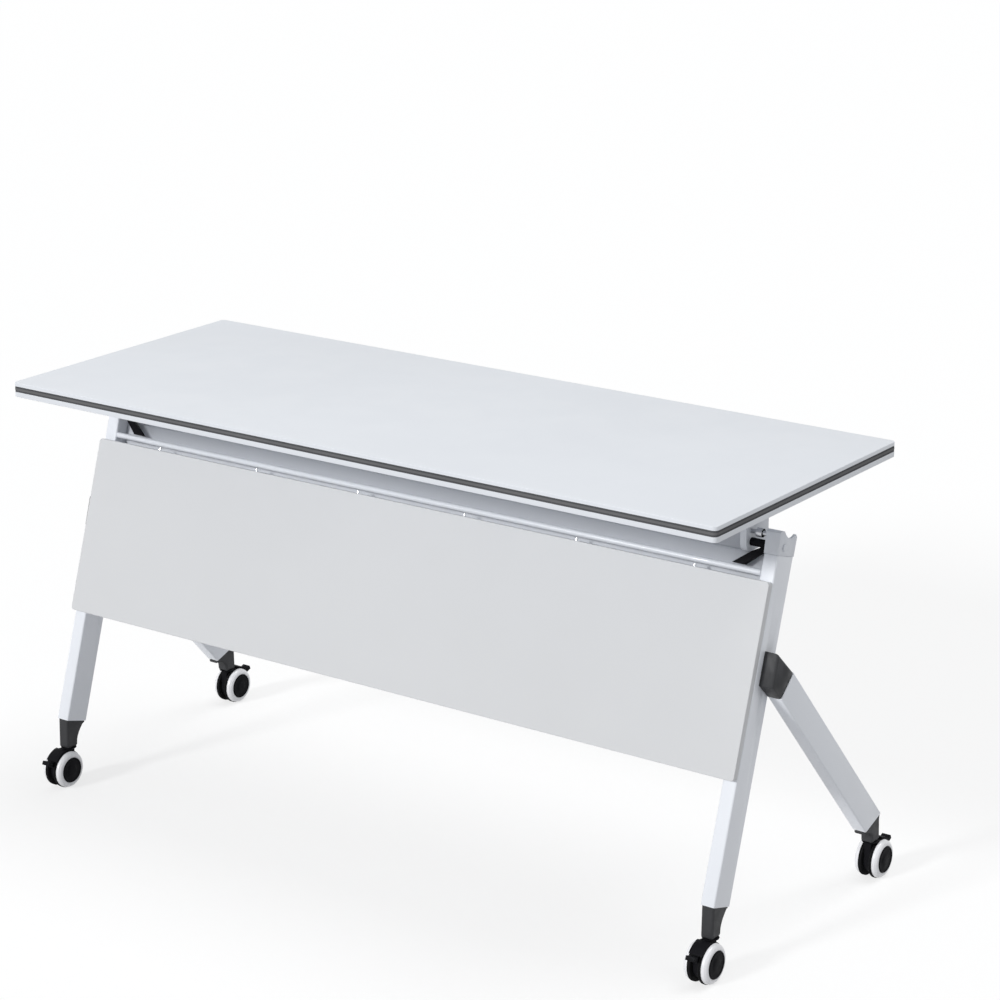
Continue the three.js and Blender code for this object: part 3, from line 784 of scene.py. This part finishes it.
class TABLE_OT_top(bpy.types.Operator):
    """Models the laminate board with its groove and the dark band in it"""

    bl_idname = "table.top"
    bl_label = "Table top"

    def execute(self, context):
        sizes = context.scene.table_sizes
        self.board(sizes)
        self.band(sizes)
        return {"FINISHED"}

    def board(self, sizes):
        size = span("table_top")
        place = middle("table_top")
        board = rounded_board("top_board", size, place, sizes.board_corner)
        top = size.z / 2
        round_edges(
            board, lambda e: at_height(e, top) or at_height(e, -top), sizes.board_rim, 3
        )
        settle_place(board)
        low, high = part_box("edge_band")
        cut_levels(board, (low.z, high.z))
        depth = span("edge_band").y / 2 - self.inner_reach()
        enter(board)
        choose(board, "FACE", lambda f: self.on_rim(f, low.z, high.z))
        bpy.ops.mesh.extrude_region_shrink_fatten(
            TRANSFORM_OT_shrink_fatten={"value": -depth}
        )
        leave()
        smooth(board)
        dress(board, finish("white_laminate"), ("table_top",))

    @staticmethod
    def inner_reach():
        """Half the width of the band's inner opening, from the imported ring."""
        centre = middle("edge_band")
        corners = [v.co - centre for v in frame["nodes"]["edge_band"].data.vertices]
        reach = span("edge_band").y / 2
        inner = [abs(c.y) for c in corners if abs(c.y) < reach - 0.5 * MILLIMETRE and abs(c.x) < 0.6]
        return max(inner, default=reach - 1.7 * MILLIMETRE)

    @staticmethod
    def on_rim(face, low, high):
        centre = face.calc_center_median()
        return abs(face.normal.z) < 0.1 and low < centre.z < high

    def band(self, sizes):
        low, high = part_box("edge_band")
        size = high - low
        recess = sizes.trim_recess
        inset = Vector((2 * recess, 2 * recess, 0))
        band = rounded_board("edge_trim", size - inset, middle("edge_band"), sizes.board_corner - recess)
        settle_place(band)
        centre = (low.z + high.z) / 2
        bead = (centre - sizes.trim_bead / 2, centre + sizes.trim_bead / 2)
        cut_levels(band, bead)
        enter(band)
        choose(band, "FACE", lambda f: abs(f.normal.z) > 0.9)
        bpy.ops.mesh.delete(type="FACE")
        choose(band, "FACE", lambda f: self.on_rim(f, *bead))
        bpy.ops.mesh.extrude_region_shrink_fatten(TRANSFORM_OT_shrink_fatten={"value": recess})
        leave()
        wall = band.modifiers.new("wall", "SOLIDIFY")
        wall.thickness = 1.2 * MILLIMETRE
        wall.offset = -1.0
        bpy.ops.object.modifier_apply(modifier=wall.name)
        smooth(band)
        dress(band, finish("dark_band"), ("edge_band",))
        band.data.materials.append(finish("pale_bead"))
        for face in band.data.polygons:
            face.material_index = int(bead[0] < face.center.z < bead[1])


# Modesty panel, rail and beam


class TABLE_OT_panel(bpy.types.Operator):
    """Models the modesty panel, the rail along its top edge with its studs, and the beam"""

    bl_idname = "table.panel"
    bl_label = "Panel, rail and beam"

    def execute(self, context):
        sizes = context.scene.table_sizes
        self.panel(sizes)
        rail = fine_copy("panel_rail", sizes.rail_edge, 2)
        dress(rail, finish("powder_coat"), ("panel_rail",))
        # The beam and its crest take the beam's darker colour, painted shade under the top.
        beam = fine_copy("main_beam", sizes.tube_edge, 2, clamp=False)
        dress(beam, finish("beam_painted_shade"), ("main_beam",))
        crest = fine_copy("beam_crest", sizes.tube_edge, 2)
        dress(crest, finish("beam_painted_shade"), ("beam_crest",))
        self.studs(sizes)
        return {"FINISHED"}

    @staticmethod
    def panel_height(sizes):
        """Length of the panel up its own slope."""
        upright = span("modesty_panel").z - sizes.panel_thickness * math.sin(sizes.panel_lean)
        return upright / math.cos(sizes.panel_lean)

    def panel(self, sizes):
        lean = sizes.panel_lean
        size = (span("modesty_panel").x, sizes.panel_thickness, self.panel_height(sizes))
        board = block("modesty_board", size, middle("modesty_panel"))
        round_edges(board, lambda e: abs(edge_way(e).y) > 0.99, sizes.panel_corner, 10)
        face = sizes.panel_thickness / 2
        on_face = lambda e, y: all(abs(v.co.y - y) < 0.01 * MILLIMETRE for v in e.verts)
        round_edges(board, lambda e: on_face(e, face) or on_face(e, -face), sizes.panel_rim, 3)
        board.rotation_euler.x = -lean
        settle_place(board)
        smooth(board)
        dress(board, finish("panel_laminate"), ("modesty_panel",))

    def studs(self, sizes):
        turn = Matrix.Rotation(-sizes.panel_lean, 4, "X")
        edge = middle("modesty_panel") + turn @ Vector((0, 0, self.panel_height(sizes) / 2))
        count = int(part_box("modesty_panel")[1].x / sizes.stud_spacing)
        stud = screw_head("panel_stud", sizes.stud_radius, sizes.stud_height)
        for index in range(-count, count):
            place = Vector(((index + 0.5) * sizes.stud_spacing, edge.y, edge.z))
            piece = copy_to(stud, f"panel_stud_{index + count + 1}", turn, place)
            dress(piece, finish("bright_steel"), body="frame")
        discard(stud)


def screw_head(name, radius, height):
    """A domed head with a round socket, standing on its own base."""
    bpy.ops.object.select_all(action="DESELECT")
    centre = (0, 0, height / 2)
    bpy.ops.mesh.primitive_cylinder_add(vertices=24, radius=radius, depth=height, location=centre)
    piece = bpy.context.object
    piece.name = name
    settle_place(piece)
    round_edges(piece, lambda e: at_height(e, height), min(0.45 * height, 0.45 * radius), 3)
    enter(piece)
    choose(piece, "FACE", lambda f: at_height(f, height))
    bpy.ops.mesh.inset(thickness=0.32 * radius)
    bpy.ops.mesh.extrude_region_move(TRANSFORM_OT_translate={"value": (0, 0, -0.5 * height)})
    leave()
    smooth(piece)
    return piece


# Legs


class TABLE_OT_legs(bpy.types.Operator):
    """Softens the raked leg tubes and leaves a bright ring at their cut feet"""

    bl_idname = "table.legs"
    bl_label = "Legs"

    def execute(self, context):
        sizes = context.scene.table_sizes
        for side in SIDES:
            for kind in ("front_leg", "rear_leg"):
                node = f"{kind}_{side}"
                leg = fine_copy(node, sizes.tube_edge, 2, clamp=False, degrees=40.0)
                dress(leg, finish("powder_coat"), (node,))
                leg.data.materials.append(finish("bright_steel"))
                self.bright_foot(leg, sizes.tube_ring)
        return {"FINISHED"}

    @staticmethod
    def bright_foot(leg, height):
        foot = min((f for f in leg.data.polygons if f.normal.z < -0.8), key=lambda f: f.center.z)
        down = foot.normal.copy()
        start = foot.center - height * down
        enter(leg)
        bpy.ops.mesh.select_all(action="SELECT")
        bpy.ops.mesh.bisect(plane_co=start, plane_no=down)
        leave()
        for face in leg.data.polygons:
            face.material_index = int((face.center - start).dot(down) > 0)


# Cast heads and arms, with the screws that hold the arms to the board


class TABLE_OT_castings(bpy.types.Operator):
    """Rounds the cast leg heads and flip arms and adds the arms' screws"""

    bl_idname = "table.castings"
    bl_label = "Castings"

    def execute(self, context):
        sizes = context.scene.table_sizes
        for side in SIDES:
            for kind in ("leg_head", "flip_arm"):
                node = f"{kind}_{side}"
                casting = fine_copy(node, sizes.casting_edge, 3)
                dress(casting, finish("cast_coat"), (node,))
        self.arm_screws(sizes)
        return {"FINISHED"}

    @staticmethod
    def arm_screws(sizes):
        screw = screw_head("arm_screw", sizes.screw_radius, sizes.screw_height)
        down = Matrix.Rotation(math.pi, 4, "X")
        for side in SIDES:
            low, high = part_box(f"flip_arm_{side}")
            wing = ARM_SCREW_SPREAD * (high.x - low.x)
            centre = (low.x + high.x) / 2
            seat = high.z - ARM_FLANGE
            for row, share_along in enumerate(ARM_SCREW_ROWS):
                for place_x in (centre - wing, centre + wing):
                    place = Vector((place_x, low.y + share_along * (high.y - low.y), seat))
                    label = "a" if place_x < centre else "b"
                    piece = copy_to(screw, f"arm_screw_{side}_{row + 1}{label}", down, place)
                    dress(piece, finish("plated_steel"), body="top")
        discard(screw)


# Pins and bolts


class TABLE_OT_fixings(bpy.types.Operator):
    """Finishes the pivot pins and the joint bolts"""

    bl_idname = "table.fixings"
    bl_label = "Pins and bolts"

    def execute(self, context):
        edge = context.scene.table_sizes.pin_edge
        for side in SIDES:
            for kind, surface_name in (("pivot_pin", "cast_coat"), ("joint_bolt", "plated_steel")):
                node = f"{kind}_{side}"
                pin = fine_copy(node, edge, 2)
                dress(pin, finish(surface_name), (node,))
        return {"FINISHED"}


# Release levers and lock pins


class TABLE_OT_levers(bpy.types.Operator):
    """Rounds the release levers and the lock pins"""

    bl_idname = "table.levers"
    bl_label = "Levers"

    def execute(self, context):
        sizes = context.scene.table_sizes
        for side in SIDES:
            lever = fine_copy(f"release_lever_{side}", sizes.lever_edge, 3)
            dress(lever, finish("black_plastic"), (f"release_lever_{side}",))
            pin = fine_copy(f"lock_pin_{side}", sizes.pin_edge, 2)
            dress(pin, finish("plated_steel"), (f"lock_pin_{side}",))
            pin.data.materials.append(finish("black_plastic"))
            self.black_collar(pin, f"lock_pin_{side}")
        return {"FINISHED"}

    @staticmethod
    def black_collar(pin, node):
        """Blackens the collar's two end faces."""
        low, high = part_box(node)
        spare = 1.0 * MILLIMETRE
        for face in pin.data.polygons:
            inside = low.x + spare < face.center.x < high.x - spare
            face.material_index = int(inside and abs(face.normal.x) > 0.9)


# Plugs and covers


class TABLE_OT_plugs(bpy.types.Operator):
    """Rounds the foot plugs and the joint covers"""

    bl_idname = "table.plugs"
    bl_label = "Plugs and covers"

    def execute(self, context):
        sizes = context.scene.table_sizes
        for side in SIDES:
            cover = fine_copy(f"joint_cover_{side}", sizes.cover_edge, 3)
            dress(cover, finish("cover_plastic"), (f"joint_cover_{side}",))
            for kind in ("front_plug", "rear_plug"):
                self.plug(f"{kind}_{side}", sizes.plug_edge)
        return {"FINISHED"}

    @staticmethod
    def plug(node, radius):
        """Rounds the edges round both flanks and the sole, and leaves the seat under the tube flat."""
        low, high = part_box(node)
        width = high.x - low.x

        def on_flank(edge):
            stations = [v.co.x for v in edge.verts]
            flush = max(stations) - low.x < 0.05 * MILLIMETRE or high.x - min(stations) < 0.05 * MILLIMETRE
            return flush and not any(f.normal.z > 0.8 for f in edge.link_faces)

        def on_sole(edge):
            across = edge.calc_length() > 0.9 * width and abs(edge_way(edge).x) > 0.99
            return across and at_height(edge, low.z)

        plug = fine_copy(node, 0.0)
        round_edges(plug, lambda e: on_flank(e) or on_sole(e), radius, 5)
        smooth(plug)
        dress(plug, finish("cover_plastic"), (node,))


# Casters


def curve_points(start, end, steps, bulge=1.0):
    """A quarter ellipse from the widest point to the crown, as radius and station pairs."""
    points = []
    for step in range(steps + 1):
        angle = math.pi / 2 * step / steps
        radius = end[0] + (start[0] - end[0]) * math.cos(angle) ** bulge
        station = start[1] + (end[1] - start[1]) * math.sin(angle) ** bulge
        points.append((radius, station))
    return points


class TABLE_OT_casters(bpy.types.Operator):
    """Spins the wheels and rims and rounds the hoods, pedals and stems"""

    bl_idname = "table.casters"
    bl_label = "Casters"

    def execute(self, context):
        sizes = context.scene.table_sizes
        wheel = self.wheel(sizes)
        rim = self.rim()
        for corner in CORNERS:
            self.hardware(corner, sizes)
            hub = middle(f"{corner}_axle")
            for place in PLACES:
                out = middle(f"{corner}_wheel_{place}").x - hub.x
                turn = Matrix.Rotation(0.0 if out > 0 else math.pi, 4, "Z")
                names = (f"{corner}_wheel_{place}", f"{corner}_rim_{place}")
                tyre = copy_to(wheel, f"{names[0]}_fine", turn, hub)
                dress(tyre, finish("tyre_rubber"), (names[0],))
                tyre.data.materials.append(finish("black_plastic"))
                limit = self.tyre_face() + 0.05 * MILLIMETRE
                for face in tyre.data.polygons:
                    face.material_index = int(abs(face.center.x - hub.x) > limit)
                ring = copy_to(rim, f"{names[1]}_fine", turn, hub)
                dress(ring, finish("rim_plastic"), (names[1],))
        discard(wheel)
        discard(rim)
        return {"FINISHED"}

    @staticmethod
    def hardware(corner, sizes):
        rows = (
            ("caster_hood", sizes.hood_edge, "black_plastic", "black_plastic"),
            ("brake_pedal", sizes.pedal_edge, "black_plastic", "black_plastic"),
            ("caster_stem", sizes.stem_edge, "black_plastic", "steel_black"),
            ("axle", sizes.axle_edge, "plated_steel", "steel"),
        )
        for kind, edge, surface_name, slot in rows:
            node = f"{corner}_{kind}"
            piece = fine_copy(node, edge, 3)
            dress(piece, finish(surface_name), (node,))

    @staticmethod
    def stations(node):
        """Where a wheel piece of the front right caster starts and ends, out from the caster's middle."""
        low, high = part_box(f"front_right_{node}")
        centre = middle("front_right_axle").x
        return low.x - centre, high.x - centre

    def tyre_face(self):
        """Station of the tyre's outer face, which the rim lies against."""
        return self.stations("rim_outer")[0] - 0.3 * MILLIMETRE

    def hub_radius(self):
        """Radius of the hub disc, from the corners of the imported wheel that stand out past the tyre."""
        centre = middle("front_right_axle")
        beyond = centre.x + self.tyre_face() + 1.0 * MILLIMETRE
        vertices = frame["nodes"]["front_right_wheel_outer"].data.vertices
        corners = [v.co - centre for v in vertices if v.co.x > beyond]
        return max(math.hypot(corner.y, corner.z) for corner in corners)

    def wheel(self, sizes):
        """Tyre with shallow grooves round its tread, and the shallow hub disc with its raised border."""
        unit = MILLIMETRE
        tread = span("front_right_wheel_outer").z / 2
        inner, hub = self.stations("wheel_outer")
        face = self.tyre_face()
        disc = self.hub_radius()
        bore = span("front_right_axle").z / 2 + 0.3 * unit
        bore_end = span("front_right_axle").x / 2 + 0.3 * unit
        groove = sizes.tread_groove
        profile = [(0.0, bore_end), (bore, bore_end), (bore, inner), (tread - 1.8 * unit, inner)]
        profile += [(tread - 0.8 * unit, inner + 0.3 * unit), (tread - 0.2 * unit, inner + 0.9 * unit)]
        profile.append((tread, inner + 1.5 * unit))
        for share_along in TREAD_GROOVE_ROWS:
            start = inner + share_along * (face - inner)
            profile += [(tread, start), (tread - groove, start + 0.15 * unit)]
            profile += [(tread - groove, start + 0.55 * unit), (tread, start + 0.7 * unit)]
        profile += [(tread, face - 0.4 * unit), (tread - 0.4 * unit, face)]
        profile += [(disc, face), (disc, hub - 0.9 * unit)]
        profile += [(disc - 0.3 * unit, hub - 0.3 * unit), (disc - 1.0 * unit, hub)]
        profile.append((disc - 2.4 * unit, hub))
        profile += [(disc - 3.1 * unit, hub - 0.7 * unit), (0.45 * disc, hub - 1.0 * unit)]
        profile += [(0.42 * disc, hub - 0.6 * unit), (0.38 * disc, hub - 0.4 * unit)]
        profile.append((0.0, hub - 0.3 * unit))
        return spun("wheel_pattern", profile, WHEEL_STEPS, closed=False)

    def rim(self):
        """Bulging pale ring with a fine step at its side and a fine groove round its crown."""
        unit = MILLIMETRE
        seat, crown = self.stations("rim_outer")
        outer = span("front_right_rim_outer").z / 2
        inner = self.hub_radius() + 0.3 * unit
        profile = [(inner, seat), (outer - 0.4 * unit, seat)]
        profile += [(outer, seat + 0.5 * unit), (outer, seat + 1.2 * unit)]
        profile += [(outer - 0.4 * unit, seat + 1.4 * unit), (outer - 0.3 * unit, seat + 1.8 * unit)]
        bulge = curve_points((outer - 0.4 * unit, seat + 2.1 * unit), (inner + 1.5 * unit, crown), 11)
        radius, station = bulge[5]
        bulge[5] = (radius - 0.25 * unit, station - 0.25 * unit)
        profile += bulge
        profile += [(inner + 0.8 * unit, crown - 0.1 * unit), (inner + 0.2 * unit, crown - 0.6 * unit)]
        profile.append((inner, crown - 1.5 * unit))
        return spun("rim_pattern", profile, WHEEL_STEPS, closed=True)


# Studio


class TABLE_OT_stage(bpy.types.Operator):
    """Sets the floor, the lamps and the camera"""

    bl_idname = "table.stage"
    bl_label = "Stage"

    def execute(self, context):
        stage = context.scene.table_stage
        context.scene.view_settings.view_transform = "Standard"
        self.floor(context.scene.table_colours.floor, stage.floor_glow)
        self.sky(stage)
        self.lamp("key_lamp", stage.key_turn, stage.key_height, stage.key_share, KEY_SOFTNESS)
        self.lamp("top_lamp", stage.top_turn, stage.top_height, stage.top_share, TOP_SOFTNESS)
        self.camera(context, stage)
        return {"FINISHED"}

    @staticmethod
    def seen_directly(tree):
        """1 for rays from the camera, or seen in gloss or through glass."""
        path = tree.nodes.new("ShaderNodeLightPath")
        seen = maths(tree, "MAXIMUM", path.outputs["Is Camera Ray"], path.outputs["Is Glossy Ray"])
        return maths(tree, "MAXIMUM", seen, path.outputs["Is Transmission Ray"])

    def floor(self, base, glow):
        """A pale floor that looks white where it is seen, apart from the shadow on it."""
        bpy.ops.object.select_all(action="DESELECT")
        level = CAD_BOX[0][2] - FLOOR_DROP
        bpy.ops.mesh.primitive_plane_add(size=FLOOR_SIZE, location=(0, 0, level))
        floor = bpy.context.object
        floor.name = "studio_floor"
        settle_place(floor)
        material = bpy.data.materials.new("studio_floor")
        material.use_nodes = True
        tree = material.node_tree
        seen = self.seen_directly(tree)
        shader = tree.nodes["Principled BSDF"]
        shader.inputs["Roughness"].default_value = 0.9
        shader.inputs["Specular IOR Level"].default_value = 0.0
        tone = mixed(tree, seen, shade(base, 1.0), WHITE)
        tree.links.new(tone, shader.inputs["Base Color"])
        white = tree.nodes.new("ShaderNodeEmission")
        blend = tree.nodes.new("ShaderNodeMixShader")
        tree.links.new(maths(tree, "MULTIPLY", seen, glow), blend.inputs["Fac"])
        tree.links.new(shader.outputs["BSDF"], blend.inputs[1])
        tree.links.new(white.outputs["Emission"], blend.inputs[2])
        tree.links.new(blend.outputs["Shader"], tree.nodes["Material Output"].inputs["Surface"])
        floor.data.materials.append(material)

    def sky(self, stage):
        world = bpy.data.worlds.new("studio_sky")
        world.use_nodes = True
        bpy.context.scene.world = world
        tree = world.node_tree
        background = tree.nodes["Background"]
        background.inputs["Color"].default_value = SKY_TINT
        seen = self.seen_directly(tree)
        strength = maths(tree, "ADD", stage.sky, maths(tree, "MULTIPLY", seen, 1.0 - stage.sky))
        tree.links.new(strength, background.inputs["Strength"])

    @staticmethod
    def lamp(name, turn, height, light, softness):
        """A far soft lamp, given its turn from the front and its height angle."""
        data = bpy.data.lights.new(name, "SUN")
        data.energy = math.pi * light
        data.angle = math.radians(softness)
        lamp = bpy.data.objects.new(name, data)
        bpy.context.scene.collection.objects.link(lamp)
        lamp.rotation_euler = (math.pi / 2 - height, 0.0, turn)
        lamp.location = (0.0, 0.0, 3.0)

    @staticmethod
    def camera(context, stage):
        data = bpy.data.cameras.new("photo_camera")
        data.lens = stage.lens
        data.sensor_width = 36.0
        data.clip_end = 100.0
        camera = bpy.data.objects.new("photo_camera", data)
        context.scene.collection.objects.link(camera)
        flat = stage.distance * math.cos(stage.elevation)
        away = Vector(
            (
                flat * math.sin(stage.azimuth),
                -flat * math.cos(stage.azimuth),
                stage.distance * math.sin(stage.elevation),
            )
        )
        camera.location = Vector(stage.target) + away
        camera.rotation_euler = (-away).to_track_quat("-Z", "Y").to_euler()
        context.scene.camera = camera


# Sidebar and registration

OPERATORS = (
    TABLE_OT_stage,
    TABLE_OT_top,
    TABLE_OT_panel,
    TABLE_OT_legs,
    TABLE_OT_castings,
    TABLE_OT_fixings,
    TABLE_OT_levers,
    TABLE_OT_plugs,
    TABLE_OT_casters,
)


class TABLE_PT_sidebar(bpy.types.Panel):
    """Lists the table's pieces and values"""

    bl_label = "Training Table"
    bl_idname = "TABLE_PT_sidebar"
    bl_space_type = "VIEW_3D"
    bl_region_type = "UI"
    bl_category = "Table"

    def draw(self, context):
        for operator in OPERATORS:
            self.layout.operator(operator.bl_idname)
        for name in ("table_sizes", "table_colours", "table_stage"):
            values = getattr(context.scene, name)
            box = self.layout.box()
            for field in values.__annotations__:
                box.prop(values, field)


CLASSES = (TableSizes, TableColours, TableStage, *OPERATORS, TABLE_PT_sidebar)


def register():
    for cls in CLASSES:
        bpy.utils.register_class(cls)
    bpy.types.Scene.table_sizes = bpy.props.PointerProperty(type=TableSizes)
    bpy.types.Scene.table_colours = bpy.props.PointerProperty(type=TableColours)
    bpy.types.Scene.table_stage = bpy.props.PointerProperty(type=TableStage)


def unregister():
    del bpy.types.Scene.table_stage
    del bpy.types.Scene.table_colours
    del bpy.types.Scene.table_sizes
    for cls in reversed(CLASSES):
        bpy.utils.unregister_class(cls)


def main():
    register()
    bpy.ops.table.stage()
    bpy.ops.table.top()
    bpy.ops.table.panel()
    bpy.ops.table.legs()
    bpy.ops.table.castings()
    bpy.ops.table.fixings()
    bpy.ops.table.levers()
    bpy.ops.table.plugs()
    bpy.ops.table.casters()


if __name__ == "__main__":
    main()
